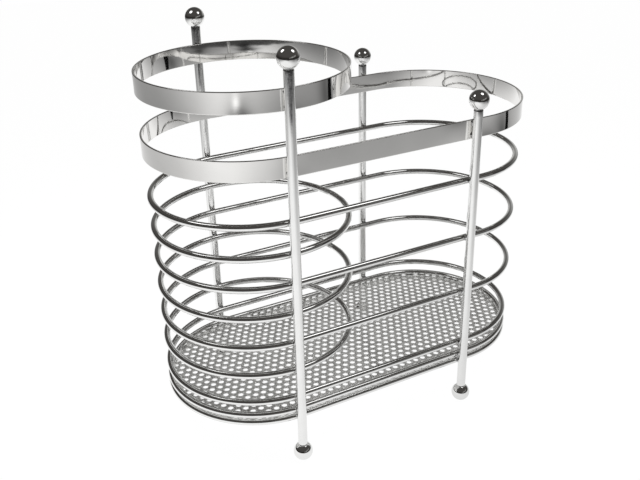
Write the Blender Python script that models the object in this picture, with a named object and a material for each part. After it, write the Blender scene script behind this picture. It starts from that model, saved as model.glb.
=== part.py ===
"""Cutlery drainer of welded, chrome-plated wire.

Four upright posts with ball ends carry everything. Long wire rings with round ends and
smaller round rings are stacked in turn up the posts, so that the left end becomes a
round compartment inside the long one. A flat strip on edge closes each compartment at
the top, the round one highest. The bottom is a perforated sheet held between two rim
wires.

Metres, +Z up. The origin is on the ground below the middle of the long ring. +X runs
along the drainer, and the round compartment is at -X.
"""

import math

import bmesh
import bpy
from mathutils import Matrix, Vector

# Stock sizes
WIRE_DIAMETER = 0.0035
POST_DIAMETER = 0.0050
BALL_DIAMETER = 0.0105
BAND_HEIGHT = 0.0105
BAND_THICKNESS = 0.0010
FLOOR_THICKNESS = 0.0006

# Plan of the rings, to the middle of the wire
RING_RADIUS = 0.0520
HALF_STRAIGHT = 0.0558

# Where the posts stand along X, from the middle of each rounded end
LEFT_POST_OUTSET = 0.0024
RIGHT_POST_INSET = 0.0080

# Heights: the lower rim above the ground, then each piece above the one below it
LOWER_RIM_HEIGHT = 0.0254
FIRST_RING_RISE = 0.0081
RING_PITCH = 0.0168
LONG_BAND_RISE = 0.0234
ROUND_BAND_RISE = 0.0215
LEFT_POST_RISE = 0.0090
RIGHT_POST_RISE = 0.0059
RING_LEVELS = 7

# Ends of the posts, and the balls that they seat in
POST_SHOULDER = 0.0010
POST_CHAMFER = 0.0004
SPIGOT_LENGTH = 0.0045
BALL_SEAT_MARGIN = 0.0001
FOOT_FLAT_RADIUS = 0.0016

# Edges of the strips
BAND_EDGE_ROUNDING = 0.0002

# Perforation of the floor, about twice as coarse as a sheet of 3.2 mm holes 4.76 mm apart
HOLE_PITCH = 0.0098
HOLE_DIAMETER = 0.0064
FLOOR_EDGE_SETBACK = 0.0010
FLOOR_BORDER = 0.0016

# Gap at each weld, play of a spigot in its ball, and how far a punch passes the sheet
WELD_GAP = 0.0003
SPIGOT_CLEARANCE = 0.0003
PUNCH_OVERRUN = 0.0010

# Points of a turned piece that lie closer than this are one point
MERGE_DISTANCE = 0.000001

# Fineness of the round shapes
ARC_STEPS = 16
WIRE_BEVEL_RESOLUTION = 2
TURNED_SIDES = 12
BALL_STEPS = 7
HOLE_SIDES = 6

# Radii
WIRE_RADIUS = WIRE_DIAMETER / 2
POST_RADIUS = POST_DIAMETER / 2
BALL_RADIUS = BALL_DIAMETER / 2
SPIGOT_RADIUS = POST_RADIUS - POST_SHOULDER
HOLE_RADIUS = HOLE_DIAMETER / 2
OUTER_RADIUS = RING_RADIUS + WIRE_RADIUS
FLOOR_RADIUS = OUTER_RADIUS - FLOOR_EDGE_SETBACK

# Places of the posts, each touching the outside of the rings
POST_REACH = OUTER_RADIUS + WELD_GAP + POST_RADIUS
LEFT_POST_X = -HALF_STRAIGHT - LEFT_POST_OUTSET
LEFT_POST_Y = math.sqrt(POST_REACH ** 2 - LEFT_POST_OUTSET ** 2)
RIGHT_POST_X = HALF_STRAIGHT - RIGHT_POST_INSET
RIGHT_POST_Y = POST_REACH

# Heights of the floor, the rings and the strips
FLOOR_BOTTOM = LOWER_RIM_HEIGHT + WIRE_RADIUS + WELD_GAP
FLOOR_TOP = FLOOR_BOTTOM + FLOOR_THICKNESS
UPPER_RIM_HEIGHT = FLOOR_TOP + WELD_GAP + WIRE_RADIUS
FIRST_RING_HEIGHT = UPPER_RIM_HEIGHT + FIRST_RING_RISE
LAST_RING_HEIGHT = FIRST_RING_HEIGHT + (RING_LEVELS - 1) * RING_PITCH
LONG_BAND_BOTTOM = LAST_RING_HEIGHT + LONG_BAND_RISE
LONG_BAND_TOP = LONG_BAND_BOTTOM + BAND_HEIGHT
ROUND_BAND_BOTTOM = LONG_BAND_TOP + ROUND_BAND_RISE
ROUND_BAND_TOP = ROUND_BAND_BOTTOM + BAND_HEIGHT

# Heights of the balls and of the posts' shoulders, from the flat where a ball seats
SEAT_RADIUS = POST_RADIUS + BALL_SEAT_MARGIN
SEAT_DISTANCE = math.sqrt(BALL_RADIUS ** 2 - SEAT_RADIUS ** 2)
FOOT_CENTRE_HEIGHT = math.sqrt(BALL_RADIUS ** 2 - FOOT_FLAT_RADIUS ** 2)
POST_BOTTOM = FOOT_CENTRE_HEIGHT + SEAT_DISTANCE + WELD_GAP
LEFT_POST_TOP = ROUND_BAND_TOP + LEFT_POST_RISE
RIGHT_POST_TOP = LONG_BAND_TOP + RIGHT_POST_RISE

# Linear colour, metallic and roughness of each finish
PLATED_WIRE = ((0.62, 0.62, 0.63), 1.0, 0.10)
PLATED_BALL = ((0.60, 0.60, 0.61), 1.0, 0.06)
ROLLED_STRIP = ((0.55, 0.54, 0.53), 1.0, 0.18)
PUNCHED_SHEET = ((0.42, 0.42, 0.41), 1.0, 0.30)


def clear_scene():
    """Remove whatever the open scene holds."""
    for obj in list(bpy.data.objects):
        bpy.data.objects.remove(obj, do_unlink=True)


def make_material(name, finish):
    """Principled material with one finish's colour, metallic and roughness."""
    colour, metallic, roughness = finish
    material = bpy.data.materials.new(name + "_finish")
    material.use_nodes = True
    shader = material.node_tree.nodes["Principled BSDF"]
    shader.inputs["Base Color"].default_value = (*colour, 1.0)
    shader.inputs["Metallic"].default_value = metallic
    shader.inputs["Roughness"].default_value = roughness
    return material


def add_object(name, data, finish, parent):
    """Put data in the scene as a named sub-part with its own material."""
    obj = bpy.data.objects.new(name, data)
    bpy.context.collection.objects.link(obj)
    obj.parent = parent
    data.materials.append(make_material(name, finish))
    return obj


def mesh_from(shape, name):
    """Mesh data of a finished bmesh, which is freed."""
    mesh = bpy.data.meshes.new(name)
    shape.to_mesh(mesh)
    shape.free()
    return mesh


def long_outline(radius, height):
    """Points of the long plan, two half circles joined by straights, anticlockwise."""
    points = []
    for side in (1, -1):
        for step in range(ARC_STEPS + 1):
            angle = math.pi * (step / ARC_STEPS - 0.5)
            x = side * (HALF_STRAIGHT + radius * math.cos(angle))
            y = side * radius * math.sin(angle)
            points.append(Vector((x, y, height)))
    return points


def round_outline(radius, height):
    """Points of the round plan, a circle about the middle of the left end, anticlockwise."""
    points = []
    for step in range(2 * ARC_STEPS):
        angle = math.pi * step / ARC_STEPS
        x = radius * math.cos(angle) - HALF_STRAIGHT
        y = radius * math.sin(angle)
        points.append(Vector((x, y, height)))
    return points


def add_wire_ring(name, outline, parent):
    """Round wire bent along a closed outline and welded end to end."""
    curve = bpy.data.curves.new(name, "CURVE")
    curve.dimensions = "3D"
    curve.twist_mode = "Z_UP"
    curve.bevel_depth = WIRE_RADIUS
    curve.bevel_resolution = WIRE_BEVEL_RESOLUTION
    spline = curve.splines.new("POLY")
    spline.points.add(len(outline) - 1)
    for point, place in zip(spline.points, outline):
        point.co = (*place, 1.0)
    spline.use_cyclic_u = True
    spline.use_smooth = True
    return add_object(name, curve, PLATED_WIRE, parent)


def add_band(name, outline, parent):
    """Flat strip on edge, rolled to a closed outline that gives its outer face."""
    shape = bmesh.new()
    lower = [shape.verts.new(place) for place in outline]
    upper = [shape.verts.new(place + Vector((0, 0, BAND_HEIGHT))) for place in outline]
    for index in range(len(outline)):
        after = (index + 1) % len(outline)
        shape.faces.new((lower[index], lower[after], upper[after], upper[index]))
    mesh = mesh_from(shape, name)
    mesh.shade_smooth()
    band = add_object(name, mesh, ROLLED_STRIP, parent)

    wall = band.modifiers.new("strip_thickness", "SOLIDIFY")
    wall.thickness = BAND_THICKNESS
    wall.offset = -1
    wall.use_even_offset = True
    edges = band.modifiers.new("rounded_edges", "BEVEL")
    edges.width = min(BAND_EDGE_ROUNDING, BAND_THICKNESS / 3)
    edges.segments = 1
    edges.limit_method = "ANGLE"
    edges.angle_limit = math.radians(45)
    return band


def turned_mesh(name, profile):
    """Mesh of a profile of (radius, height) pairs turned about Z."""
    shape = bmesh.new()
    verts = [shape.verts.new((radius, 0, height)) for radius, height in profile]
    edges = [shape.edges.new(pair) for pair in zip(verts, verts[1:])]
    bmesh.ops.spin(
        shape, geom=verts + edges, cent=(0, 0, 0), axis=(0, 0, 1),
        angle=2 * math.pi, steps=TURNED_SIDES, use_merge=True,
    )
    bmesh.ops.remove_doubles(shape, verts=shape.verts, dist=MERGE_DISTANCE)
    bmesh.ops.recalc_face_normals(shape, faces=shape.faces)
    mesh = mesh_from(shape, name)
    mesh.shade_smooth()
    mesh.set_sharp_from_angle(angle=math.radians(40))
    return mesh


def add_post(name, x, y, top, parent):
    """Upright rod with chamfered shoulders and a spigot at each end for its ball."""
    profile = [
        (0, POST_BOTTOM - SPIGOT_LENGTH),
        (SPIGOT_RADIUS, POST_BOTTOM - SPIGOT_LENGTH),
        (SPIGOT_RADIUS, POST_BOTTOM),
        (POST_RADIUS - POST_CHAMFER, POST_BOTTOM),
        (POST_RADIUS, POST_BOTTOM + POST_CHAMFER),
        (POST_RADIUS, top - POST_CHAMFER),
        (POST_RADIUS - POST_CHAMFER, top),
        (SPIGOT_RADIUS, top),
        (SPIGOT_RADIUS, top + SPIGOT_LENGTH),
        (0, top + SPIGOT_LENGTH),
    ]
    post = add_object(name, turned_mesh(name, profile), PLATED_WIRE, parent)
    post.location = (x, y, 0)
    return post


def ball_profile(far_flat_radius):
    """Half outline of a ball, from its bore round to the side away from the post.

    The bore opens downwards in the seat. A far flat radius of zero leaves the ball whole
    on its far side, and any other radius cuts a flat of that size there.
    """
    bore_radius = SPIGOT_RADIUS + SPIGOT_CLEARANCE
    bore_end = SPIGOT_LENGTH + SPIGOT_CLEARANCE - SEAT_DISTANCE
    profile = [(0, bore_end), (bore_radius, bore_end), (bore_radius, -SEAT_DISTANCE)]
    first = math.asin(-SEAT_DISTANCE / BALL_RADIUS)
    last = math.acos(far_flat_radius / BALL_RADIUS)
    for step in range(BALL_STEPS + 1):
        angle = first + (last - first) * step / BALL_STEPS
        profile.append((BALL_RADIUS * math.cos(angle), BALL_RADIUS * math.sin(angle)))
    profile.append((0, BALL_RADIUS * math.sin(last)))
    return profile


def add_finial(name, x, y, post_top, parent):
    """Ball that caps a post, seated on the post's upper shoulder."""
    mesh = turned_mesh(name, ball_profile(0))
    finial = add_object(name, mesh, PLATED_BALL, parent)
    finial.location = (x, y, post_top + WELD_GAP + SEAT_DISTANCE)
    return finial


def add_foot(name, x, y, parent):
    """Ball under a post, bore upwards, with the flat that stands on the ground."""
    mesh = turned_mesh(name, ball_profile(FOOT_FLAT_RADIUS))
    foot = add_object(name, mesh, PLATED_BALL, parent)
    foot.location = (x, y, FOOT_CENTRE_HEIGHT)
    foot.rotation_euler = (math.pi, 0, 0)
    return foot


def hole_centres():
    """Centres of the holes, in staggered rows that keep a whole border round the sheet."""
    row_pitch = HOLE_PITCH * math.sqrt(3) / 2
    reach = FLOOR_RADIUS - FLOOR_BORDER - HOLE_RADIUS
    rows = math.ceil(reach / row_pitch)
    columns = math.ceil((HALF_STRAIGHT + reach) / HOLE_PITCH)
    centres = []
    for row in range(-rows, rows):
        y = (row + 0.5) * row_pitch
        shift = HOLE_PITCH / 4 if row % 2 else -HOLE_PITCH / 4
        for column in range(-columns, columns + 1):
            x = column * HOLE_PITCH + shift
            past_straight = max(abs(x) - HALF_STRAIGHT, 0)
            if math.hypot(past_straight, y) <= reach:
                centres.append((x, y))
    return centres


def add_floor_punches(parent):
    """One guide object with a six-sided punch for every hole of the floor."""
    shape = bmesh.new()
    for x, y in hole_centres():
        place = Matrix.Translation((x, y, FLOOR_BOTTOM + FLOOR_THICKNESS / 2))
        bmesh.ops.create_cone(
            shape, cap_ends=True, segments=HOLE_SIDES, matrix=place,
            radius1=HOLE_RADIUS, radius2=HOLE_RADIUS,
            depth=FLOOR_THICKNESS + 2 * PUNCH_OVERRUN,
        )
    punches = bpy.data.objects.new("floor_punches", mesh_from(shape, "floor_punches"))
    bpy.context.collection.objects.link(punches)
    punches.parent = parent
    punches.hide_render = True
    punches.display_type = "WIRE"
    return punches


def add_floor(name, parent):
    """Sheet in the long plan, punched with staggered holes."""
    shape = bmesh.new()
    outline = [shape.verts.new(place) for place in long_outline(FLOOR_RADIUS, FLOOR_BOTTOM)]
    sheet = shape.faces.new(outline)
    raised = bmesh.ops.extrude_face_region(shape, geom=[sheet])["geom"]
    raised_verts = [item for item in raised if isinstance(item, bmesh.types.BMVert)]
    bmesh.ops.translate(shape, vec=(0, 0, FLOOR_THICKNESS), verts=raised_verts)
    bmesh.ops.recalc_face_normals(shape, faces=shape.faces)
    floor = add_object(name, mesh_from(shape, name), PUNCHED_SHEET, parent)

    holes = floor.modifiers.new("punched_holes", "BOOLEAN")
    holes.operation = "DIFFERENCE"
    holes.solver = "EXACT"
    holes.object = add_floor_punches(parent)
    return floor


def add_rings(parent):
    """Long and round rings in turn up the posts, starting and ending with a long one."""
    for level in range(RING_LEVELS):
        height = FIRST_RING_HEIGHT + level * RING_PITCH
        number = level // 2 + 1
        if level % 2:
            outline = round_outline(RING_RADIUS, height)
            add_wire_ring(f"round_ring_{number}", outline, parent)
        else:
            outline = long_outline(RING_RADIUS, height)
            add_wire_ring(f"long_ring_{number}", outline, parent)


def add_posts(parent):
    """The four posts, each with its finial and its foot."""
    ends = (
        ("left", LEFT_POST_X, LEFT_POST_Y, LEFT_POST_TOP),
        ("right", RIGHT_POST_X, RIGHT_POST_Y, RIGHT_POST_TOP),
    )
    for end, x, reach, top in ends:
        for side, y in (("front", -reach), ("rear", reach)):
            add_post(f"post_{side}_{end}", x, y, top, parent)
            add_finial(f"finial_{side}_{end}", x, y, top, parent)
            add_foot(f"foot_{side}_{end}", x, y, parent)


def build():
    """Model the whole drainer under one empty."""
    clear_scene()
    root = bpy.data.objects.new("cutlery_drainer", None)
    bpy.context.collection.objects.link(root)
    add_posts(root)
    add_wire_ring("rim_wire_lower", long_outline(RING_RADIUS, LOWER_RIM_HEIGHT), root)
    add_floor("perforated_floor", root)
    add_wire_ring("rim_wire_upper", long_outline(RING_RADIUS, UPPER_RIM_HEIGHT), root)
    add_rings(root)
    add_band("long_band", long_outline(OUTER_RADIUS, LONG_BAND_BOTTOM), root)
    add_band("round_band", round_outline(OUTER_RADIUS, ROUND_BAND_BOTTOM), root)


build()
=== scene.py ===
import math

import bpy
import numpy as np
from mathutils import Matrix, Vector


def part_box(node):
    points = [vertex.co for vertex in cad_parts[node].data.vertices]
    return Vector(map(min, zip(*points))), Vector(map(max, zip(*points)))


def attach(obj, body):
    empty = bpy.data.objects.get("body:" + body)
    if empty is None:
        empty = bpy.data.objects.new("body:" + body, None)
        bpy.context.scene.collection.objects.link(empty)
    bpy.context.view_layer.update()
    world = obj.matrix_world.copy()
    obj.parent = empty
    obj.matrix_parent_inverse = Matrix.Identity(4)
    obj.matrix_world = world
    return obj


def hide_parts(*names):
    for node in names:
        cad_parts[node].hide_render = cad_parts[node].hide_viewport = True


# Looks of a free-standing cutlery drainer in welded, chrome-plated wire: drawn wire rings,
# straightened posts, turned balls, two rolled strips and a punched sheet, with their welds.
# Metres, +Z up. Every place and size that the frame holds is read from it.

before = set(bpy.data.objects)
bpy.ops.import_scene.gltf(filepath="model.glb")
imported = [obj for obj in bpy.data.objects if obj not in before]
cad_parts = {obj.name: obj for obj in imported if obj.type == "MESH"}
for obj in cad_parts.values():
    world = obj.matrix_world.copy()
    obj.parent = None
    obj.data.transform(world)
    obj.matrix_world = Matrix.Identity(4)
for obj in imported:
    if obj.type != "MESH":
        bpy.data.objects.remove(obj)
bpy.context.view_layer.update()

MILLIMETRE = 0.001

# Points of a surface that lie closer than this are one point
MERGE_DISTANCE = 0.0005 * MILLIMETRE

# Fineness of the surfaces: steps round a wire, along a half circle and a straight of a
# plan, round a turned piece, and from flat to flat of a ball
WIRE_SIDES = 24
ARC_STEPS = 72
STRAIGHT_STEPS = 48
TURNED_SIDES = 48
BALL_STEPS = 28

# Radius of the wire, and half of a long ring's straight, as boxed
ring_low, ring_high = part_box("long_ring_1")
WIRE_RADIUS = (ring_high.z - ring_low.z) / 2
HALF_STRAIGHT = ring_high.x - (ring_high.y - ring_low.y) / 2


def linear(hex_colour):
    """Linear colour of an sRGB hex value: a power of 2.4 above the short straight part."""
    channels = np.array([int(hex_colour[place:place + 2], 16) for place in (1, 3, 5)]) / 255
    curved = ((channels + 0.055) / 1.055) ** 2.4
    colour = np.where(channels <= 0.04045, channels / 12.92, curved)
    return (*colour.tolist(), 1.0)


def add_node(tree, kind, inputs=None, **settings):
    """A node of one kind, with its settings, and its inputs set to values or linked.

    Inputs of a maths or mix node that share a name are keyed by their number: 0 to 2 for
    maths, 2 and 3 for mixed values, and 6 and 7 for mixed colours.
    """
    node = tree.nodes.new(kind)
    for name, value in settings.items():
        setattr(node, name, value)
    for key, value in (inputs or {}).items():
        if isinstance(value, bpy.types.NodeSocket):
            tree.links.new(value, node.inputs[key])
        else:
            node.inputs[key].default_value = value
    return node


def new_material(name):
    """An empty node material: its tree, its shader and its surface output, linked."""
    material = bpy.data.materials.new(name)
    material.use_nodes = True
    tree = material.node_tree
    tree.nodes.clear()
    shader = add_node(tree, "ShaderNodeBsdfPrincipled")
    add_node(tree, "ShaderNodeOutputMaterial", {"Surface": shader.outputs["BSDF"]})
    return material, tree, shader


# Patterns of the plate: how many finer layers its ripple, grain and pits hold, how strong
# those of the ripple are, the values of the grain between which the gloss changes and
# those between which the speckles of the painted dark reflection do, and the least of that
# reflection that these leave
RIPPLE_LAYERS = 2.0
RIPPLE_LAYER_STRENGTH = 0.4
GRAIN_LAYERS = 3.0
PIT_LAYERS = 2.0
GLOSS_SPAN = (0.3, 0.7)
SPECKLE_SPAN = (0.35, 0.65)
SPECKLE_LEAST = 0.6


def plated_finish(name, light, dark, roughness, streaks, ripple, grain, on_uv=False,
                  painted_reflection=None, mirror_share=1.0):
    """Chrome plate: a mirror metal whose tone, gloss and level vary a little.

    Streaks stretch the pattern along one axis of the stock, ripple is the wavelength and
    the depth of the slow waves left by forming, and grain those of the fine ones left by
    drawing, rolling or buffing, all in real lengths. A painted dark reflection gets its own
    colour and roughness, and the size and depth of its pits, where the piece's attribute
    for it is one. What is left of the mirror's share is scattered evenly.
    """
    material, tree, shader = new_material(name)
    coordinates = add_node(tree, "ShaderNodeTexCoord")
    source = coordinates.outputs["UV" if on_uv else "Object"]
    ripple_length, ripple_depth = ripple
    grain_length, grain_depth = grain
    along = add_node(tree, "ShaderNodeMapping", {"Vector": source, "Scale": streaks})
    slow = add_node(tree, "ShaderNodeTexNoise", {
        "Vector": source, "Scale": 1 / ripple_length, "Detail": RIPPLE_LAYERS,
        "Roughness": RIPPLE_LAYER_STRENGTH})
    fine = add_node(tree, "ShaderNodeTexNoise", {
        "Vector": along.outputs["Vector"], "Scale": 1 / grain_length, "Detail": GRAIN_LAYERS})
    tone = add_node(tree, "ShaderNodeMix", {
        "Factor": slow.outputs["Fac"], 6: linear(light), 7: linear(dark)}, data_type="RGBA")
    low, high = roughness
    gloss = add_node(tree, "ShaderNodeMapRange", {
        "Value": fine.outputs["Fac"], "From Min": GLOSS_SPAN[0], "From Max": GLOSS_SPAN[1],
        "To Min": low, "To Max": high})
    waves = add_node(tree, "ShaderNodeBump", {
        "Height": slow.outputs["Fac"], "Distance": ripple_depth, "Strength": 1.0})
    lines = add_node(tree, "ShaderNodeBump", {
        "Height": fine.outputs["Fac"], "Distance": grain_depth, "Strength": 1.0,
        "Normal": waves.outputs["Normal"]})
    colour, dullness, relief = tone.outputs[2], gloss.outputs["Result"], lines.outputs["Normal"]
    # Where the piece's attribute for it is one: a painted dark reflection, grey and duller, with
    # pits
    if painted_reflection:
        reflection_colour, reflection_roughness, pit_size, pit_depth = painted_reflection
        reflection_mask = add_node(tree, "ShaderNodeAttribute", attribute_name="painted_reflection_share")
        speckle = add_node(tree, "ShaderNodeMapRange", {
            "Value": fine.outputs["Fac"], "From Min": SPECKLE_SPAN[0],
            "From Max": SPECKLE_SPAN[1], "To Min": SPECKLE_LEAST, "To Max": 1.0})
        share = add_node(tree, "ShaderNodeMath", {
            0: reflection_mask.outputs["Fac"], 1: speckle.outputs["Result"]}, operation="MULTIPLY")
        tinted = add_node(tree, "ShaderNodeMix", {
            "Factor": share.outputs[0], 6: colour, 7: linear(reflection_colour)}, data_type="RGBA")
        matt = add_node(tree, "ShaderNodeMix", {
            "Factor": share.outputs[0], 2: dullness, 3: reflection_roughness})
        pits = add_node(tree, "ShaderNodeTexNoise", {
            "Vector": source, "Scale": 1 / pit_size, "Detail": PIT_LAYERS})
        pitted = add_node(tree, "ShaderNodeBump", {
            "Height": pits.outputs["Fac"], "Distance": pit_depth,
            "Strength": reflection_mask.outputs["Fac"], "Normal": relief})
        colour, dullness, relief = tinted.outputs[2], matt.outputs[0], pitted.outputs["Normal"]
    tree.links.new(colour, shader.inputs["Base Color"])
    tree.links.new(dullness, shader.inputs["Roughness"])
    tree.links.new(relief, shader.inputs["Normal"])
    shader.inputs["Metallic"].default_value = mirror_share
    return material


# Bright chrome over cold-drawn wire: a mirror with faint lines along the wire
chrome_on_drawn_wire = plated_finish(
    "chrome_on_drawn_wire", "#f3f3f2", "#e8e8e7", roughness=(0.04, 0.10),
    streaks=(0.15, 1.0, 1.0), ripple=(6 * MILLIMETRE, 0.012 * MILLIMETRE),
    grain=(0.5 * MILLIMETRE, 0.0010 * MILLIMETRE), on_uv=True)

# Bright chrome over straightened rod: the same mirror, softened by its upright lines, with
# a painted dark reflection, grey and duller, on one side of each post below its finial
chrome_on_straightened_rod = plated_finish(
    "chrome_on_straightened_rod", "#f5f5f4", "#ebebea", roughness=(0.08, 0.16),
    streaks=(1.0, 1.0, 0.1), ripple=(8 * MILLIMETRE, 0.012 * MILLIMETRE),
    grain=(0.5 * MILLIMETRE, 0.0012 * MILLIMETRE),
    painted_reflection=("#6c6c6d", 0.24, 0.9 * MILLIMETRE, 0.05 * MILLIMETRE))

# Chrome over a turned and buffed steel ball: the sharpest mirror on the drainer
chrome_on_turned_ball = plated_finish(
    "chrome_on_turned_ball", "#f2f2f1", "#eaeae9", roughness=(0.04, 0.08),
    streaks=(1.0, 1.0, 1.0), ripple=(5 * MILLIMETRE, 0.004 * MILLIMETRE),
    grain=(0.6 * MILLIMETRE, 0.0004 * MILLIMETRE))

# Chrome over cold-rolled strip: a wide mirror with slow waves and faint lines along it
chrome_on_rolled_strip = plated_finish(
    "chrome_on_rolled_strip", "#f0efed", "#e6e5e3", roughness=(0.03, 0.07),
    streaks=(0.08, 1.0, 1.0), ripple=(11 * MILLIMETRE, 0.022 * MILLIMETRE),
    grain=(0.4 * MILLIMETRE, 0.0006 * MILLIMETRE), on_uv=True)

# Chrome over punched sheet: duller and mottled, because it isn't buffed between the holes,
# and with fine pits that scatter a little of the light evenly
chrome_on_punched_sheet = plated_finish(
    "chrome_on_punched_sheet", "#fcfcfa", "#e8e8e6", roughness=(0.34, 0.50),
    streaks=(1.0, 1.0, 1.0), ripple=(7 * MILLIMETRE, 0.030 * MILLIMETRE),
    grain=(0.8 * MILLIMETRE, 0.0040 * MILLIMETRE), mirror_share=0.80)

# Chrome over a resistance weld: the metal that was squeezed out keeps its lumps
chrome_over_weld = plated_finish(
    "chrome_over_weld", "#c8c8c9", "#9c9c9e", roughness=(0.15, 0.35),
    streaks=(1.0, 1.0, 1.0), ripple=(1.4 * MILLIMETRE, 0.060 * MILLIMETRE),
    grain=(0.4 * MILLIMETRE, 0.0150 * MILLIMETRE))

# Thin chrome over the ring of braze under a ball: grey, pitted and half dull
chrome_over_braze = plated_finish(
    "chrome_over_braze", "#d2d2d2", "#98989a", roughness=(0.25, 0.45),
    streaks=(1.0, 1.0, 1.0), ripple=(1.1 * MILLIMETRE, 0.080 * MILLIMETRE),
    grain=(0.4 * MILLIMETRE, 0.0200 * MILLIMETRE), mirror_share=0.55)


def merged(points, quads):
    """Coinciding points made one. A quad that this folds becomes a triangle or goes."""
    keys = np.round(points / MERGE_DISTANCE).astype(np.int64)
    _, first, owner = np.unique(keys, axis=0, return_index=True, return_inverse=True)
    rows = owner.reshape(-1)[quads]
    same = rows == np.roll(rows, -1, axis=1)
    folds = same.sum(axis=1)
    crossed = (rows[:, 0] == rows[:, 2]) | (rows[:, 1] == rows[:, 3])
    whole = rows[(folds == 0) & ~crossed]
    half = (folds == 1) & ~crossed
    corners = (same[half].argmax(axis=1)[:, None] + np.array([1, 2, 3])) % 4
    triangles = np.take_along_axis(rows[half], corners, axis=1)
    return points[first], whole.tolist() + triangles.tolist()


def grid_quads(rows, columns, closed_rows, closed_columns):
    """Quads of a grid whose points run along the columns first, wrapped where closed."""
    row = np.arange(rows if closed_rows else rows - 1)[:, None]
    column = np.arange(columns if closed_columns else columns - 1)[None, :]
    next_row = (row + 1) % rows
    next_column = (column + 1) % columns
    quads = [row * columns + column, next_row * columns + column,
             next_row * columns + next_column, row * columns + next_column]
    return np.stack(quads, axis=-1).reshape(-1, 4)


def add_piece(name, points, faces, material, nodes=()):
    """A smooth mesh in place, which rides on the drainer and stands for its CAD nodes."""
    mesh = bpy.data.meshes.new(name)
    mesh.from_pydata(points.tolist(), [], faces)
    mesh.shade_smooth()
    mesh.materials.append(material)
    piece = bpy.data.objects.new(name, mesh)
    bpy.context.scene.collection.objects.link(piece)
    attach(piece, "root")
    if nodes:
        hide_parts(*nodes)
    return piece


def middle_of(low, high):
    """Middle of a box along X and Y, where an upright piece has its axis."""
    return (low.x + high.x) / 2, (low.y + high.y) / 2


def plan_of(node):
    """Middle along X, half of the straight and outer radius of a closed plan, as boxed."""
    low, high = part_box(node)
    middle, _ = middle_of(low, high)
    radius = (high.y - low.y) / 2
    return middle, (high.x - low.x) / 2 - radius, radius


def plan_path(node, inset):
    """Places, outward directions and lengths round a node's plan, inset from its outside.

    A half circle is its centre plus a radius at a turning angle. A straight keeps the
    angle that the half circle before it ends at, while the centre moves along X. A round
    plan has no straights. The path runs anticlockwise from the right end's foremost point.
    """
    middle, half_straight, outer = plan_of(node)
    radius = outer - inset
    steps = STRAIGHT_STEPS if half_straight > WIRE_RADIUS else 0
    turn = np.linspace(-math.pi / 2, math.pi / 2, ARC_STEPS, endpoint=False)
    slide = np.linspace(half_straight, -half_straight, steps, endpoint=False)
    angle = np.concatenate([turn, np.full(steps, math.pi / 2),
                            turn + math.pi, np.full(steps, -math.pi / 2)])
    centre = np.concatenate([np.full(ARC_STEPS, half_straight), slide,
                             np.full(ARC_STEPS, -half_straight), -slide])
    outward = np.stack([np.cos(angle), np.sin(angle)], axis=-1)
    places = radius * outward
    places[:, 0] += middle + centre
    strides = np.linalg.norm(np.roll(places, -1, axis=0) - places, axis=1)
    lengths = np.concatenate([[0], np.cumsum(strides)])
    return places, outward, lengths


def swept(places, outward, sections, height):
    """Closed sections carried round a closed plan, one at each of its places.

    A point is the plan's place, plus its section's first value along the outward
    direction, plus its second value and the height along Z.
    """
    points = np.empty((len(places), sections.shape[1], 3))
    points[:, :, :2] = places[:, None, :] + sections[:, :, :1] * outward[:, None, :]
    points[:, :, 2] = height + sections[:, :, 1]
    quads = grid_quads(len(places), sections.shape[1], True, True)
    return points.reshape(-1, 3), quads


def lay_lengths(piece, lengths, section):
    """UV map in metres: the length along the stock, then the way round its section."""
    strides = np.linalg.norm(np.roll(section, -1, axis=0) - section, axis=1)
    around = np.concatenate([[0], np.cumsum(strides)])
    rows, columns = np.meshgrid(np.arange(len(lengths) - 1), np.arange(len(section)),
                                indexing="ij")
    along = np.stack([lengths[rows], lengths[rows + 1],
                      lengths[rows + 1], lengths[rows]], axis=-1)
    across = np.stack([around[columns], around[columns],
                       around[columns + 1], around[columns + 1]], axis=-1)
    layer = piece.data.uv_layers.new(name="lengths")
    layer.data.foreach_set("uv", np.stack([along, across], axis=-1).ravel())


# Butt welds of the rings: how far the swelling reaches, by what share it stands out, at
# what share of the way round the first ring's lies, and how much further each next one's.
# That is at the rear right of the long rings and on the right of the round ones.
BUTT_WELD_REACH = 0.9 * MILLIMETRE
BUTT_WELD_SHARE = 0.07
LONG_WELD_FIRST = 0.30
LONG_WELD_STEP = 0.01
ROUND_WELD_FIRST = 0.22
ROUND_WELD_STEP = 0.02


def butt_weld_bulge(lengths, share_of_way):
    """Scale of a wire's section: one, plus a bell curve at the weld that closes the ring."""
    along = lengths[:-1] - share_of_way * lengths[-1]
    return 1 + BUTT_WELD_SHARE * np.exp(-(along / BUTT_WELD_REACH) ** 2)


def add_wire(node, weld_share):
    """Round wire bent along a plan: a circle carried round it, swollen at its butt weld."""
    low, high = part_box(node)
    places, outward, lengths = plan_path(node, WIRE_RADIUS)
    angle = np.linspace(0, 2 * math.pi, WIRE_SIDES, endpoint=False)
    section = WIRE_RADIUS * np.stack([np.cos(angle), np.sin(angle)], axis=-1)
    bulge = butt_weld_bulge(lengths, weld_share)
    sections = bulge[:, None, None] * section
    points, quads = swept(places, outward, sections, (low.z + high.z) / 2)
    piece = add_piece(node + "_chromed", points, quads.tolist(), chrome_on_drawn_wire,
                      [node])
    lay_lengths(piece, lengths, section)


# Strips: thickness, radius of their rolled edges, how deep a bend dishes them across, over
# which length of the straight that dish runs out, how much and how far the weld of the
# front right post warps the long one, steps of a rounded edge and of a face, and how far
# from its rounded edges the face's first and last steps lie
STRIP_THICKNESS = 1.0 * MILLIMETRE
STRIP_EDGE_RADIUS = 0.30 * MILLIMETRE
STRIP_DISH = 0.07 * MILLIMETRE
STRIP_DISH_RUN_OUT = 14 * MILLIMETRE
STRIP_WARP = 0.16 * MILLIMETRE
STRIP_WARP_REACH = 13 * MILLIMETRE
STRIP_EDGE_STEPS = 5
STRIP_FACE_STEPS = 8
STRIP_FACE_MARGIN = 0.06 * MILLIMETRE


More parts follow.
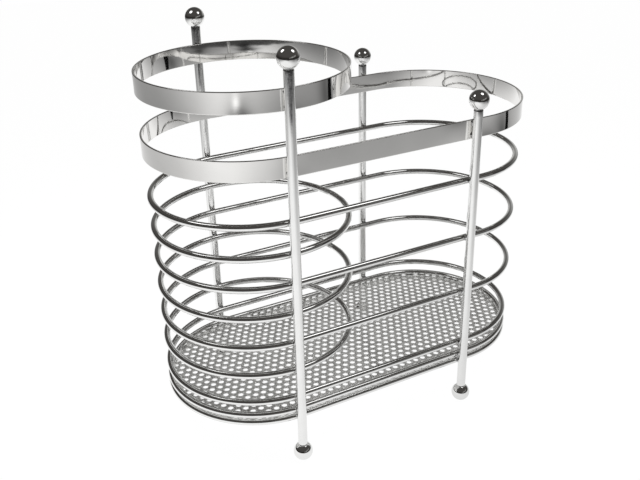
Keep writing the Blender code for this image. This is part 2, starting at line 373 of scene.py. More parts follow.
def strip_section(height):
    """The outer side of a rounded rectangle, then the inner side as its mirror image.

    Each side is a straight face between two quarter circles. The outer face stands at
    zero outwards, and the inner face at minus the thickness.
    """
    corner = np.linspace(-math.pi / 2, 0, STRIP_EDGE_STEPS + 1)
    half = height / 2 - STRIP_EDGE_RADIUS
    lower_out = STRIP_EDGE_RADIUS * np.cos(corner) - STRIP_EDGE_RADIUS
    lower_up = STRIP_EDGE_RADIUS * np.sin(corner) - half
    flat = half - STRIP_FACE_MARGIN
    face_up = np.linspace(-flat, flat, STRIP_FACE_STEPS + 1)
    outer_out = np.concatenate([lower_out, np.zeros(len(face_up)), lower_out[::-1]])
    outer_up = np.concatenate([lower_up, face_up, -lower_up[::-1]])
    out = np.concatenate([outer_out, -STRIP_THICKNESS - outer_out])
    up = np.concatenate([outer_up, -outer_up])
    return np.stack([out, up], axis=-1)


def add_strip(node):
    """Flat strip on edge, rolled round a plan.

    Its section is carried along it. Where it bends, the whole section sinks inwards by a
    parabola across its height, and that dish fades into a straight along half a cosine
    wave. The weld of the front right post adds the same parabola, outwards before the
    post and inwards past it: the distance from the post times a bell curve of it. The
    round strip has no straight, and that post doesn't carry it, so it isn't warped.
    """
    low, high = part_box(node)
    middle, half_straight, _ = plan_of(node)
    places, outward, lengths = plan_path(node, 0)
    height = high.z - low.z
    section = strip_section(height)
    into_straight = np.clip(half_straight - np.abs(places[:, 0] - middle), 0, STRIP_DISH_RUN_OUT)
    fade = (1 + np.cos(math.pi * into_straight / STRIP_DISH_RUN_OUT)) / 2
    post_low, post_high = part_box("post_front_right")
    post_x, _ = middle_of(post_low, post_high)
    past_post = (places[:, 0] - post_x) / STRIP_WARP_REACH
    warped = (half_straight > WIRE_RADIUS) & (places[:, 1] < 0)
    warp = STRIP_WARP * past_post * np.exp(1 - past_post ** 2) * warped
    parabola = 1 - (2 * section[:, 1] / height) ** 2
    sections = np.broadcast_to(section, (len(places), *section.shape)).copy()
    sections[:, :, 0] -= (STRIP_DISH * fade + warp)[:, None] * parabola[None, :]
    points, quads = swept(places, outward, sections, (low.z + high.z) / 2)
    piece = add_piece(node + "_chromed", points, quads.tolist(), chrome_on_rolled_strip,
                      [node])
    lay_lengths(piece, lengths, section)


def turned(x, y, profile):
    """A profile of (radius, height) rows, bottom to top, turned about a vertical axis."""
    angle = np.linspace(0, 2 * math.pi, TURNED_SIDES, endpoint=False)
    points = np.empty((TURNED_SIDES, len(profile), 3))
    points[:, :, 0] = x + np.cos(angle)[:, None] * profile[None, :, 0]
    points[:, :, 1] = y + np.sin(angle)[:, None] * profile[None, :, 0]
    points[:, :, 2] = profile[None, :, 1]
    return merged(points.reshape(-1, 3), grid_quads(TURNED_SIDES, len(profile), True, False))


# Posts: radius of the neck that a post's rounded ends leave at its balls, height of these
# ends and their steps, and how far the post reaches into its balls. Then how far apart its
# rings of points are between the ends, how many end heights from the foot and from the top
# they keep, and the angle of the edges that stay sharp.
POST_NECK_RADIUS = 1.75 * MILLIMETRE
POST_FOOT_END = 0.8 * MILLIMETRE
POST_TOP_ENDS = {"left": 0.9 * MILLIMETRE, "right": 1.1 * MILLIMETRE}
POST_END_STEPS = 7
POST_REACH_IN = 0.8 * MILLIMETRE
POST_RING_SPACING = 4 * MILLIMETRE
POST_RINGS_FROM = 2.0
POST_RINGS_TO = 1.2
POST_SHARP_ANGLE = math.radians(50)

# Painted dark reflection on the posts, grey and duller: how far below its finial it reaches
# on each post, fully and at all, and the side that it lies on: its direction, how far to
# either side of that it is full and ends, and the share that it narrows by downwards
POST_PAINTED_REFLECTION = {
    "front_left": (24 * MILLIMETRE, 30 * MILLIMETRE),
    "rear_left": (30 * MILLIMETRE, 42 * MILLIMETRE),
    "front_right": (1.0 * MILLIMETRE, 2.2 * MILLIMETRE),
    "rear_right": (4 * MILLIMETRE, 8 * MILLIMETRE),
}
PAINTED_REFLECTION_SIDE = math.radians(-110)
PAINTED_REFLECTION_FULL_WITHIN = math.radians(28)
PAINTED_REFLECTION_NONE_PAST = math.radians(54)
PAINTED_REFLECTION_NARROWING = 0.6

# Ring of braze in the neck under a finial: how far it stands out, half its height, how much
# its lumps add, and steps round its section
COLLAR_STAND_OUT = 0.40 * MILLIMETRE
COLLAR_HALF_HEIGHT = 0.55 * MILLIMETRE
COLLAR_LUMP = 0.12 * MILLIMETRE
COLLAR_SECTION_STEPS = 12


def add_collar(place):
    """Lumpy ring of braze: an oval section turned about the post.

    The section is an ellipse about a point on the post's neck. How far it stands out varies
    with the mean of five and of eight sine waves round the post, and how high it sits with
    three.
    """
    low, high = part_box("post_" + place)
    finial_low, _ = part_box("finial_" + place)
    x, y = middle_of(low, high)
    angle = np.linspace(0, 2 * math.pi, TURNED_SIDES, endpoint=False)[:, None]
    around = np.linspace(0, 2 * math.pi, COLLAR_SECTION_STEPS, endpoint=False)[None, :]
    stand_out = COLLAR_STAND_OUT + COLLAR_LUMP * (np.sin(5 * angle) + np.sin(8 * angle + 1)) / 2
    reach = POST_NECK_RADIUS + stand_out * np.cos(around)
    rise = COLLAR_HALF_HEIGHT * np.sin(around) + COLLAR_LUMP * np.sin(3 * angle)
    points = np.stack([x + reach * np.cos(angle), y + reach * np.sin(angle),
                       finial_low.z + rise], axis=-1)
    quads = grid_quads(TURNED_SIDES, COLLAR_SECTION_STEPS, True, True)
    add_piece("collar_" + place, points.reshape(-1, 3), quads.tolist(), chrome_over_braze)


def add_post(place):
    """Straight rod with rounded ends: from the neck its radius grows along a quarter oval.

    The painted dark reflection falls off evenly down the post below its full stretch, and
    evenly to either side, in a width that narrows evenly down the post.
    """
    node = "post_" + place
    _, foot_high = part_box("foot_" + place)
    finial_low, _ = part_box("finial_" + place)
    low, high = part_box(node)
    x, y = middle_of(low, high)
    radius = (high.x - low.x) / 2
    bottom, top = foot_high.z, finial_low.z
    top_end = POST_TOP_ENDS[place.split("_")[1]]
    turn = np.linspace(0, math.pi / 2, POST_END_STEPS + 1)
    end_radii = POST_NECK_RADIUS + (radius - POST_NECK_RADIUS) * np.sin(turn)
    end_rise = 1 - np.cos(turn)
    middle = np.arange(bottom + POST_RINGS_FROM * POST_FOOT_END, top - POST_RINGS_TO * top_end,
                       POST_RING_SPACING)
    heights = np.concatenate([[bottom - POST_REACH_IN], [bottom - POST_REACH_IN],
                              bottom + POST_FOOT_END * end_rise, middle,
                              (top - top_end * end_rise)[::-1],
                              [top + POST_REACH_IN], [top + POST_REACH_IN]])
    radii = np.concatenate([[0], [POST_NECK_RADIUS], end_radii, np.full(len(middle), radius),
                            end_radii[::-1], [POST_NECK_RADIUS], [0]])
    points, faces = turned(x, y, np.stack([radii, heights], axis=-1))
    piece = add_piece(node + "_chromed", points, faces, chrome_on_straightened_rod,
                      [node])
    # Share of the painted dark reflection at each point of the post
    full, none = POST_PAINTED_REFLECTION[place]
    below = top - points[:, 2]
    down = np.clip((none - below) / (none - full), 0, 1)
    around = np.arctan2(points[:, 1] - y, points[:, 0] - x)
    off_side = np.abs((around - PAINTED_REFLECTION_SIDE + math.pi) % (2 * math.pi) - math.pi)
    width = 1 - PAINTED_REFLECTION_NARROWING * np.clip(below / none, 0, 1)
    sideways = (PAINTED_REFLECTION_NONE_PAST * width - off_side) / (PAINTED_REFLECTION_NONE_PAST - PAINTED_REFLECTION_FULL_WITHIN)
    layer = piece.data.attributes.new("painted_reflection_share", "FLOAT", "POINT")
    layer.data.foreach_set("value", down * np.clip(sideways, 0, 1))
    piece.data.set_sharp_from_angle(angle=POST_SHARP_ANGLE)
    add_collar(place)


# Balls: their radius, that of the flat on which a foot stands, and the angle of the edges
# that stay sharp
BALL_RADIUS = 5.25 * MILLIMETRE
GROUND_FLAT_RADIUS = 1.6 * MILLIMETRE
BALL_SHARP_ANGLE = math.radians(35)


def add_ball(node, is_foot):
    """Ball with a flat seat for its post, and a second, small flat if it stands on it.

    Between the flats its points lie a radius from the centre, at even angles from one
    flat's edge to the other's, and a ball without the second flat ends at its top.
    """
    low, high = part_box(node)
    if is_foot:
        centre = low.z + math.sqrt(BALL_RADIUS ** 2 - GROUND_FLAT_RADIUS ** 2)
        first = -math.acos(GROUND_FLAT_RADIUS / BALL_RADIUS)
        last = math.asin((high.z - centre) / BALL_RADIUS)
    else:
        centre = high.z - BALL_RADIUS
        first = math.asin((low.z - centre) / BALL_RADIUS)
        last = math.pi / 2
    angle = np.linspace(first, last, BALL_STEPS + 1)
    radii = np.concatenate([[0], BALL_RADIUS * np.cos(angle), [0]])
    heights = centre + BALL_RADIUS * np.concatenate([[math.sin(first)], np.sin(angle),
                                                     [math.sin(last)]])
    points, faces = turned(*middle_of(low, high), np.stack([radii, heights], axis=-1))
    piece = add_piece(node + "_chromed", points, faces, chrome_on_turned_ball,
                      [node])
    piece.data.set_sharp_from_angle(angle=BALL_SHARP_ANGLE)


# Punched sheet: round holes of 1/8 inch on a staggered pitch of 3/16 inch, where one of
# them lies, and how far the sheet dips at a hole's edge, where the punch drew it down
INCH = 25.4 * MILLIMETRE
HOLE_RADIUS = INCH / 16
HOLE_PITCH = INCH * 3 / 16
HOLE_SIDES = 12
FIRST_HOLE_X = -0.53 * MILLIMETRE
FIRST_HOLE_Y = -2.88 * MILLIMETRE
ROLL_OVER_DEPTH = 0.03 * MILLIMETRE


def hole_grid(half_length, half_width):
    """Centres of staggered holes over a rectangle: every other row is half a pitch on."""
    row_pitch = HOLE_PITCH * math.sqrt(3) / 2
    row = np.arange(-math.ceil(half_width / row_pitch), math.ceil(half_width / row_pitch) + 2)
    column = np.arange(-math.ceil(half_length / HOLE_PITCH) - 1,
                       math.ceil(half_length / HOLE_PITCH) + 2)
    rows, columns = np.meshgrid(row, column, indexing="ij")
    x = FIRST_HOLE_X + HOLE_PITCH * (columns + 0.5 * (rows % 2))
    y = FIRST_HOLE_Y + row_pitch * rows
    return np.stack([x, y], axis=-1).reshape(-1, 2)


def add_sheet(node):
    """Perforated sheet: the six-sided cell of one hole, repeated and trimmed to the plan.

    A cell runs from the hole's circle, a little lower, out to a hexagon on which it meets
    its neighbours. Points past the plan move onto it along the way to its middle line, and
    a cell's face that lies wholly outside goes. The sheet gets its thickness downwards.
    """
    low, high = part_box(node)
    _, half_straight, radius = plan_of(node)
    angle = 2 * math.pi * np.arange(HOLE_SIDES) / HOLE_SIDES
    off_side_middle = np.abs((angle + math.pi / 6) % (math.pi / 3) - math.pi / 6)
    hexagon = HOLE_PITCH / 2 / np.cos(off_side_middle)
    reach = np.stack([np.full(HOLE_SIDES, HOLE_RADIUS), hexagon])
    centres = hole_grid(half_straight + radius, radius)
    direction = np.stack([np.cos(angle), np.sin(angle)], axis=-1)
    flat = centres[:, None, None, :] + reach[None, :, :, None] * direction[None, None, :, :]
    depth = np.broadcast_to(np.array([-ROLL_OVER_DEPTH, 0])[None, :, None], flat.shape[:3])
    cell = grid_quads(2, HOLE_SIDES, False, True)[:, ::-1]
    quads = (cell[None] + 2 * HOLE_SIDES * np.arange(len(centres))[:, None, None]).reshape(-1, 4)

    flat = flat.reshape(-1, 2)
    middle_line = np.clip(flat[:, 0], -half_straight, half_straight)
    from_line = np.stack([flat[:, 0] - middle_line, flat[:, 1]], axis=-1)
    distance = np.linalg.norm(from_line, axis=1)
    outside = distance > radius
    trimmed = from_line * (radius / np.maximum(distance, radius))[:, None]
    trimmed[:, 0] += middle_line
    points = np.column_stack([trimmed, high.z + np.where(outside, 0, depth.reshape(-1))])
    points, faces = merged(points, quads[~outside[quads].all(axis=1)])
    sheet = add_piece(node + "_chromed", points, faces, chrome_on_punched_sheet,
                      [node])
    wall = sheet.modifiers.new("sheet_thickness", "SOLIDIFY")
    wall.thickness = high.z - low.z
    wall.offset = -1


# Weld beads between a post and what it carries: half sizes along the ring, outwards and up,
# steps and sides, the share that their lumps add, and how far above and below a strip's
# middle its two beads lie
BEAD_HALF_SIZES = (1.7 * MILLIMETRE, 0.75 * MILLIMETRE, 1.8 * MILLIMETRE)
BEAD_STEPS = 10
BEAD_SIDES = 16
BEAD_LUMP_SHARE = 0.10
STRIP_BEAD_OFFSET = 3.2 * MILLIMETRE


def bead(centre, outward, turn):
    """A lumpy flattened ball.

    Latitude and longitude give a direction on the unit ball, scaled by the three half sizes
    and by one plus the sine waves of three times the longitude and five times the latitude.
    These start elsewhere on each bead and die out towards its poles.
    """
    latitude = np.linspace(-math.pi / 2, math.pi / 2, BEAD_STEPS + 1)[None, :]
    longitude = np.linspace(0, 2 * math.pi, BEAD_SIDES, endpoint=False)[:, None]
    lumps = 1 + BEAD_LUMP_SHARE * np.cos(latitude) * (
        np.sin(3 * longitude + turn) + np.sin(5 * latitude - 2 * turn))
    along, out, up = BEAD_HALF_SIZES
    local = np.stack([along * lumps * np.cos(latitude) * np.cos(longitude),
                      out * lumps * np.cos(latitude) * np.sin(longitude),
                      up * lumps * np.sin(latitude) * np.ones_like(longitude)], axis=-1)
    tangent = np.array([outward[1], -outward[0]])
    points = np.empty_like(local)
    points[..., :2] = centre[:2] + local[..., :1] * tangent + local[..., 1:2] * outward
    points[..., 2] = centre[2] + local[..., 2]
    return points.reshape(-1, 3), grid_quads(BEAD_SIDES, BEAD_STEPS + 1, True, False)


def add_welds(place, carried):
    """The weld beads of one post, one at every ring and two at every strip it carries.

    They lie where the post's side is nearest to the middle line of the long plan.
    """
    low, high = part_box("post_" + place)
    post = np.array(middle_of(low, high))
    radius = (high.x - low.x) / 2
    line_x = np.clip(post[0], -HALF_STRAIGHT, HALF_STRAIGHT)
    away = post - np.array([line_x, 0])
    outward = away / np.linalg.norm(away)
    contact = post - radius * outward
    heights = []
    for node in carried:
        node_low, node_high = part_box(node)
        middle = (node_low.z + node_high.z) / 2
        if node.endswith("band"):
            heights += [middle - STRIP_BEAD_OFFSET, middle + STRIP_BEAD_OFFSET]
        else:
            heights.append(middle)
    all_points, all_quads, count = [], [], 0
    for number, height in enumerate(heights):
        points, quads = bead(np.array([*contact, height]), outward, number)
        all_points.append(points)
        all_quads.append(quads + count)
        count += len(points)
    points, faces = merged(np.concatenate(all_points), np.concatenate(all_quads))
    add_piece("welds_" + place, points, faces, chrome_over_weld)


# The whole drainer: the left posts carry both plans, and the right ones the long plan
LONG_WIRES = ["rim_wire_lower", "rim_wire_upper", "long_ring_1", "long_ring_2",
              "long_ring_3", "long_ring_4"]
ROUND_WIRES = ["round_ring_1", "round_ring_2", "round_ring_3"]
PLACES = ["front_left", "rear_left", "front_right", "rear_right"]

for number, name in enumerate(LONG_WIRES):
    add_wire(name, LONG_WELD_FIRST + LONG_WELD_STEP * number)
for number, name in enumerate(ROUND_WIRES):
    add_wire(name, ROUND_WELD_FIRST + ROUND_WELD_STEP * number)
add_strip("long_band")
add_strip("round_band")
add_sheet("perforated_floor")
for name in PLACES:
    add_post(name)
    add_ball("finial_" + name, is_foot=False)
    add_ball("foot_" + name, is_foot=True)
    carried = LONG_WIRES + ["long_band"]
    if name.endswith("left"):
        carried += ROUND_WIRES + ["round_band"]
    add_welds(name, carried)


# Camera: where it stands, which way it looks, and its lens on a 36 mm wide sensor
CAMERA_PLACE = (-0.21164, -0.37061, 0.29972)
CAMERA_AZIMUTH = math.radians(27.971)
CAMERA_ELEVATION = math.radians(-25.721)
CAMERA_ROLL = math.radians(-1.372)
CAMERA_LENS = 45.81
SENSOR_WIDTH = 36.0

camera_data = bpy.data.cameras.new("camera")
camera_data.lens = CAMERA_LENS
camera_data.sensor_width = SENSOR_WIDTH
camera = bpy.data.objects.new("camera", camera_data)
bpy.context.scene.collection.objects.link(camera)
camera.matrix_world = (Matrix.Translation(CAMERA_PLACE)
                       @ Matrix.Rotation(-CAMERA_AZIMUTH, 4, "Z")
                       @ Matrix.Rotation(math.pi / 2 + CAMERA_ELEVATION, 4, "X")
                       @ Matrix.Rotation(CAMERA_ROLL, 4, "Z"))
bpy.context.scene.camera = camera

# Studio, guessed from what the metal mirrors: white paper on a table, with a dark strip on
# it, a dim room with a gleam in its front, and two round soft lamps
WHITE = "#ffffff"

# A bell curve is this to the power of a sum of squares
BELL_BASE = math.exp(-1)

# Paper: half its side, how far it lies below the ground plane, its colour, the share of a
# glow of its own in what the camera and the metal see of it, and how bright that is to the
# camera: just past white, so that it keeps only a trace of the drainer's shadow
PAPER_HALF_SIZE = 1.6
PAPER_DROP = 0.2 * MILLIMETRE
PAPER_COLOUR = "#f4f4f4"
PAPER_GLOW_SHARE = 0.97
PAPER_SHOWN = 1.02

# Light on the paper as the metal sees it: its level in the middle, its direction, its
# centre and half lengths along and across that, and the most that the paper gives back
LIT_LEVEL = 1.30
LIT_AXIS = math.radians(47)
LIT_CENTRE = (0.19, 0.07)
LIT_HALF_LENGTH = 1.40
LIT_HALF_WIDTH = 0.44
LIT_MOST = 1.02

# Round that this light stays in: its centre, how far from it the light begins to fade and
# has gone, how far that edge wanders, over which length and with how many finer waves, and
# the level past it
LIT_ROUND_CENTRE = (0.045, 0.31, 0.0)
LIT_EDGE = (1.27, 1.35)
LIT_EDGE_WANDER = 0.24
LIT_EDGE_WANDER_LENGTH = 0.36
LIT_EDGE_WANDER_LAYERS = 1.0
UNLIT_LEVEL = 0.06

# Soft shades on the paper: place, direction, half lengths along and across, and depth.
# First come two in front on the left, one in front on the right and one at the right, then
# the drainer's own and a faint one before it. The last is a bright spot of negative depth.
PAPER_SHADES = [
    ((-0.50, -0.84), math.radians(-30), (0.16, 0.20), 0.88),
    ((-0.48, -0.75), math.radians(-30), (0.20, 0.050), 0.92),
    ((0.38, -0.83), math.radians(25), (0.13, 0.10), 0.80),
    ((0.64, -0.30), math.radians(-14), (0.25, 0.12), 0.64),
    ((0.12, -0.10), math.radians(0), (0.16, 0.16), 0.24),
    ((0.17, -0.46), math.radians(0), (0.13, 0.14), 0.27),
    ((-0.455, -0.65), math.radians(55), (0.070, 0.045), -1.20),
]

# Dark strip on the paper, which only the metal mirrors: the middles of its two ends, and
# half its width at them
DARK_STRIP_NEAR = (0.44, -0.135, 0.001)
DARK_STRIP_FAR = (0.95, -0.310, 0.001)
DARK_STRIP_HALF_WIDTHS = (0.008, 0.072)
DARK_STRIP_COLOUR = "#0c0c0c"

# Room: its radius and steps, the colours of its walls low down and from a certain sine of
# the elevation up, and the direction, reach and colour of a pale patch on its rear wall
ROOM_RADIUS = 2.5
ROOM_STEPS = 16
LOW_WALL_COLOUR = "#242220"
WALL_COLOUR = "#484644"
DARK_WALL_TOP = 0.45
PALE_WALL_AZIMUTH = math.radians(42)
PALE_WALL_ELEVATION = math.radians(11)
PALE_WALL_REACH = (0.55, 0.55, 0.19)
PALE_WALL_COLOUR = "#d4d4d2"

# Gleam in the front of the room, from just left of its middle round to the right, in
# degrees: azimuth from the front towards the right and elevation of its two ends, and its
# half height. Then its distance and steps, and its soft patches: how many to the metre,
# their finer layers, the values of their pattern that give its two colours, and these.
GLEAM_ENDS = ((-16.6, 12.6), (54.5, 21.1))
GLEAM_HALF_HEIGHT = 5.5
GLEAM_DISTANCE = 2.0
GLEAM_STEPS = 24
GLEAM_PATCHES = 3.0
GLEAM_PATCH_LAYERS = 2.0
GLEAM_SPAN = (0.35, 0.65)
GLEAM_COLOURS = ("#4a4846", "#989896")

# Round soft lamps: place, power in watts and radius. Then the point that they face, the
# sides of the glowing faces that the metal mirrors, and how bright these are.
LAMPS = {
    "left_lamp": ((-0.195, 0.075, 0.430), 1.3, 0.063),
    "right_lamp": ((0.172, -0.150, 0.540), 1.8, 0.085),
}
LAMP_AIM = (0.0, 0.0, 0.1)
LAMP_SIDES = 48
LAMP_FACE_GLOW = 2.2

# Even light from all round, as a share of the white that the camera sees past the room
WORLD_LIGHT = 0.3


def new_stage(name, points, faces, surface):
    """A named mesh of the studio, whose material gets its nodes from a function."""
    mesh = bpy.data.meshes.new(name)
    mesh.from_pydata(points, [], faces)
    material = bpy.data.materials.new(name + "_surface")
    material.use_nodes = True
    material.node_tree.nodes.clear()
    surface(material.node_tree)
    mesh.materials.append(material)
    stage = bpy.data.objects.new(name, mesh)
    bpy.context.scene.collection.objects.link(stage)
    return stage


def seen_rays(tree):
    """The kinds of a ray, and a value that is one if it looks and zero if it gives light.

    A camera, glossy or transmission ray looks.
    """
    rays = add_node(tree, "ShaderNodeLightPath")
    seen = add_node(tree, "ShaderNodeMath", {
        0: rays.outputs["Is Camera Ray"], 1: rays.outputs["Is Glossy Ray"]}, operation="MAXIMUM")
    both = add_node(tree, "ShaderNodeMath", {
        0: seen.outputs[0], 1: rays.outputs["Is Transmission Ray"]}, operation="MAXIMUM")
    return rays, both.outputs[0]


def paper_surface(tree):
    """White paper: white to the camera, and to the metal as bright as it is lit there.

    The light on it is the lit level over one plus the squares of the distances along and
    across the lit axis from the lit centre, each over its own half length, and no more
    than the paper gives back. It ends softly at the wavy edge of the lit round, and bell
    curves take the soft shades out of it.
    """
    rays, seen = seen_rays(tree)
    coordinates = add_node(tree, "ShaderNodeTexCoord")

    def scaled_square(centre, turn, sizes):
        """Distances along and across a turned axis, each over its size, squared and added.

        They run from a centre that is itself given along and across that axis.
        """
        turned_place = add_node(tree, "ShaderNodeMapping", {
            "Vector": coordinates.outputs["Object"], "Rotation": (0, 0, -turn),
            "Location": (-centre[0], -centre[1], 0)})
        scaled = add_node(tree, "ShaderNodeVectorMath", {
            0: turned_place.outputs[0], 1: (1 / sizes[0], 1 / sizes[1], 0)},
            operation="MULTIPLY")
        square = add_node(tree, "ShaderNodeVectorMath", {
            0: scaled.outputs[0], 1: scaled.outputs[0]}, operation="DOT_PRODUCT")
        return square.outputs["Value"]

    oval = scaled_square(LIT_CENTRE, LIT_AXIS, (LIT_HALF_LENGTH, LIT_HALF_WIDTH))
    more = add_node(tree, "ShaderNodeMath", {0: oval, 1: 1.0}, operation="ADD")
    spread = add_node(tree, "ShaderNodeMath", {
        0: LIT_LEVEL, 1: more.outputs[0]}, operation="DIVIDE")
    capped = add_node(tree, "ShaderNodeMath", {
        0: spread.outputs[0], 1: LIT_MOST}, operation="MINIMUM")
    distance = add_node(tree, "ShaderNodeVectorMath", {
        0: coordinates.outputs["Object"], 1: LIT_ROUND_CENTRE}, operation="DISTANCE")
    wave = add_node(tree, "ShaderNodeTexNoise", {
        "Vector": coordinates.outputs["Object"], "Scale": 1 / LIT_EDGE_WANDER_LENGTH,
        "Detail": LIT_EDGE_WANDER_LAYERS})
    to_and_fro = add_node(tree, "ShaderNodeMath", {
        0: wave.outputs["Fac"], 1: 0.5}, operation="SUBTRACT")
    wavy = add_node(tree, "ShaderNodeMath", {
        0: to_and_fro.outputs[0], 1: LIT_EDGE_WANDER, 2: distance.outputs["Value"]},
        operation="MULTIPLY_ADD")
    past_edge = add_node(tree, "ShaderNodeMapRange", {
        "Value": wavy.outputs[0], "From Min": LIT_EDGE[0], "From Max": LIT_EDGE[1]},
        interpolation_type="SMOOTHSTEP")
    level = add_node(tree, "ShaderNodeMix", {
        "Factor": past_edge.outputs[0], 2: capped.outputs[0], 3: UNLIT_LEVEL})
    for place, turn, sizes, depth in PAPER_SHADES:
        bell = scaled_square(Matrix.Rotation(-turn, 2) @ Vector(place), turn, sizes)
        fade = add_node(tree, "ShaderNodeMath", {0: BELL_BASE, 1: bell}, operation="POWER")
        open_share = add_node(tree, "ShaderNodeMath", {
            0: fade.outputs[0], 1: -depth, 2: 1.0}, operation="MULTIPLY_ADD")
        level = add_node(tree, "ShaderNodeMath", {
            0: level.outputs[0], 1: open_share.outputs[0]}, operation="MULTIPLY")
    shown = add_node(tree, "ShaderNodeMix", {
        "Factor": rays.outputs["Is Camera Ray"], 2: level.outputs[0], 3: PAPER_SHOWN})
    lit = add_node(tree, "ShaderNodeBsdfDiffuse", {"Color": linear(PAPER_COLOUR)})
    glow = add_node(tree, "ShaderNodeEmission", {
        "Color": linear(WHITE), "Strength": shown.outputs[0]})
    share = add_node(tree, "ShaderNodeMath", {
        0: seen, 1: PAPER_GLOW_SHARE}, operation="MULTIPLY")
    mix = add_node(tree, "ShaderNodeMixShader", {
        0: share.outputs[0], 1: lit.outputs[0], 2: glow.outputs[0]})
    add_node(tree, "ShaderNodeOutputMaterial", {"Surface": mix.outputs[0]})


def glowing(colour, strength):
    """A surface that gives off one colour at one strength."""
    def surface(tree):
        glow = add_node(tree, "ShaderNodeEmission", {
            "Color": linear(colour), "Strength": strength})
        add_node(tree, "ShaderNodeOutputMaterial", {"Surface": glow.outputs[0]})
    return surface


def add_paper():
    """White paper under the drainer, a wide square just below the ground plane."""
    half = PAPER_HALF_SIZE
    corners = [(-half, -half, -PAPER_DROP), (half, -half, -PAPER_DROP),
               (half, half, -PAPER_DROP), (-half, half, -PAPER_DROP)]
    new_stage("paper", corners, [(0, 1, 2, 3)], paper_surface)


def room_surface(tree):
    """Dim walls, darkest low down, with a long pale patch low on the rear wall.

    The patch's share is a bell curve of the direction less that of the patch's middle, each
    of X, Y and Z over its own reach.
    """
    coordinates = add_node(tree, "ShaderNodeTexCoord")
    direction = add_node(tree, "ShaderNodeVectorMath", {
        0: coordinates.outputs["Object"]}, operation="NORMALIZE")
    middle = Matrix.Rotation(-PALE_WALL_AZIMUTH, 3, "Z") @ Vector(
        (0, math.cos(PALE_WALL_ELEVATION), math.sin(PALE_WALL_ELEVATION)))
    off_middle = add_node(tree, "ShaderNodeVectorMath", {
        0: direction.outputs[0], 1: middle}, operation="SUBTRACT")
    in_reaches = add_node(tree, "ShaderNodeVectorMath", {
        0: off_middle.outputs[0], 1: PALE_WALL_REACH}, operation="DIVIDE")
    square = add_node(tree, "ShaderNodeVectorMath", {
        0: in_reaches.outputs[0], 1: in_reaches.outputs[0]}, operation="DOT_PRODUCT")
    pale = add_node(tree, "ShaderNodeMath", {
        0: BELL_BASE, 1: square.outputs["Value"]}, operation="POWER")
    split = add_node(tree, "ShaderNodeSeparateXYZ", {"Vector": direction.outputs[0]})
    up_wall = add_node(tree, "ShaderNodeMapRange", {
        "Value": split.outputs["Z"], "From Min": 0.0, "From Max": DARK_WALL_TOP},
        interpolation_type="SMOOTHSTEP")
    wall = add_node(tree, "ShaderNodeMix", {
        "Factor": up_wall.outputs[0], 6: linear(LOW_WALL_COLOUR), 7: linear(WALL_COLOUR)},
        data_type="RGBA")
    tone = add_node(tree, "ShaderNodeMix", {
        "Factor": pale.outputs[0], 6: wall.outputs[2], 7: linear(PALE_WALL_COLOUR)},
        data_type="RGBA")
    glow = add_node(tree, "ShaderNodeEmission", {"Color": tone.outputs[2]})
    add_node(tree, "ShaderNodeOutputMaterial", {"Surface": glow.outputs[0]})


def mirrored_only(stage):
    """Keep a thing of the studio out of everything but the metal's reflections."""
    stage.visible_camera = False
    stage.visible_diffuse = False
    stage.visible_shadow = False


def add_room():
    """A round room: its dim light reaches the drainer, and the camera doesn't see it."""
    latitude = np.linspace(-math.pi / 2, math.pi / 2, ROOM_STEPS + 1)
    profile = ROOM_RADIUS * np.stack([np.cos(latitude), np.sin(latitude)], axis=-1)
    points, faces = turned(0, 0, profile)
    room = new_stage("room", points.tolist(), faces, room_surface)
    room.visible_camera = False
    room.visible_shadow = False


def gleam_surface(tree):
    """Grey light in soft patches, as a far room lit by daylight gives it."""
    coordinates = add_node(tree, "ShaderNodeTexCoord")
    patches = add_node(tree, "ShaderNodeTexNoise", {
        "Vector": coordinates.outputs["Object"], "Scale": GLEAM_PATCHES,
        "Detail": GLEAM_PATCH_LAYERS})
    clearer = add_node(tree, "ShaderNodeMapRange", {
        "Value": patches.outputs["Fac"], "From Min": GLEAM_SPAN[0], "From Max": GLEAM_SPAN[1]})
    dim, pale = GLEAM_COLOURS
    tone = add_node(tree, "ShaderNodeMix", {
        "Factor": clearer.outputs[0], 6: linear(dim), 7: linear(pale)}, data_type="RGBA")
    glow = add_node(tree, "ShaderNodeEmission", {"Color": tone.outputs[2]})
    add_node(tree, "ShaderNodeOutputMaterial", {"Surface": glow.outputs[0]})


def add_gleam():
    """Ribbon of grey light round the front of the room, between two directions.

    Its azimuth and elevation run evenly from one end to the other, and it stands its half
    height above and below that line.
    """
    share = np.linspace(0, 1, GLEAM_STEPS + 1)[:, None]
    start, end = np.radians(np.array(GLEAM_ENDS))
    line = start + share * (end - start)
    azimuth = line[:, :1]
    elevation = line[:, 1:] + np.radians([[-GLEAM_HALF_HEIGHT, GLEAM_HALF_HEIGHT]])
    points = GLEAM_DISTANCE * np.stack([np.sin(azimuth) * np.cos(elevation),
                                        -np.cos(azimuth) * np.cos(elevation),
                                        np.sin(elevation)], axis=-1)
    quads = grid_quads(GLEAM_STEPS + 1, 2, False, False)
    mirrored_only(new_stage("gleam", points.reshape(-1, 3).tolist(), quads.tolist(),
                            gleam_surface))


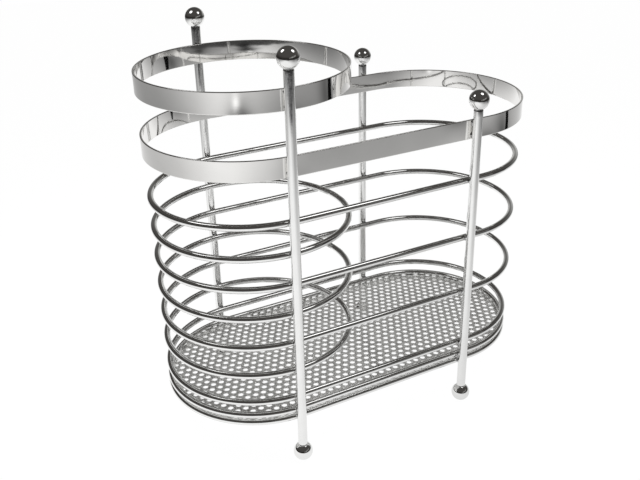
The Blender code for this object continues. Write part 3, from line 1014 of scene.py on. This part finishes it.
def add_dark_strip():
    """Dark strip on the paper at the right, long and flat, that points at the drainer."""
    near, far = Vector(DARK_STRIP_NEAR), Vector(DARK_STRIP_FAR)
    across = (far - near).cross(Vector((0, 0, 1))).normalized()
    at_near, at_far = (across * half_width for half_width in DARK_STRIP_HALF_WIDTHS)
    corners = [near + at_near, far + at_far, far - at_far, near - at_near]
    mirrored_only(new_stage("dark_strip", [tuple(corner) for corner in corners],
                            [(0, 1, 2, 3)], glowing(DARK_STRIP_COLOUR, 1.0)))


def add_lamp(name, place, power, radius):
    """Round soft lamp that faces the drainer, with the glowing face that the metal mirrors."""
    data = bpy.data.lights.new(name, "AREA")
    data.shape = "DISK"
    data.size = 2 * radius
    data.energy = power
    lamp = bpy.data.objects.new(name, data)
    bpy.context.scene.collection.objects.link(lamp)
    aim = Vector(LAMP_AIM) - Vector(place)
    turn = aim.to_track_quat("-Z", "Y").to_matrix().to_4x4()
    lamp.matrix_world = Matrix.Translation(place) @ turn
    lamp.visible_camera = False
    lamp.visible_glossy = False
    angle = np.linspace(0, 2 * math.pi, LAMP_SIDES, endpoint=False)
    rim = radius * np.stack([np.cos(angle), np.sin(angle), np.zeros(LAMP_SIDES)], axis=-1)
    rim = rim @ np.array(turn.to_3x3()).T + np.array(place)
    mirrored_only(new_stage(name + "_face", rim.tolist(), [tuple(range(LAMP_SIDES))],
                            glowing(WHITE, LAMP_FACE_GLOW)))


def set_world():
    """White wherever the camera or a reflection looks past the room, soft light besides."""
    world = bpy.data.worlds.new("studio")
    world.use_nodes = True
    tree = world.node_tree
    tree.nodes.clear()
    _, seen = seen_rays(tree)
    strength = add_node(tree, "ShaderNodeMapRange", {
        "Value": seen, "To Min": WORLD_LIGHT, "To Max": 1.0})
    glow = add_node(tree, "ShaderNodeBackground", {
        "Color": linear(WHITE), "Strength": strength.outputs[0]})
    add_node(tree, "ShaderNodeOutputWorld", {"Surface": glow.outputs[0]})
    bpy.context.scene.world = world


add_paper()
add_room()
add_gleam()
add_dark_strip()
set_world()
for name, (place, power, radius) in LAMPS.items():
    add_lamp(name, place, power, radius)
bpy.context.scene.view_settings.view_transform = "Standard"
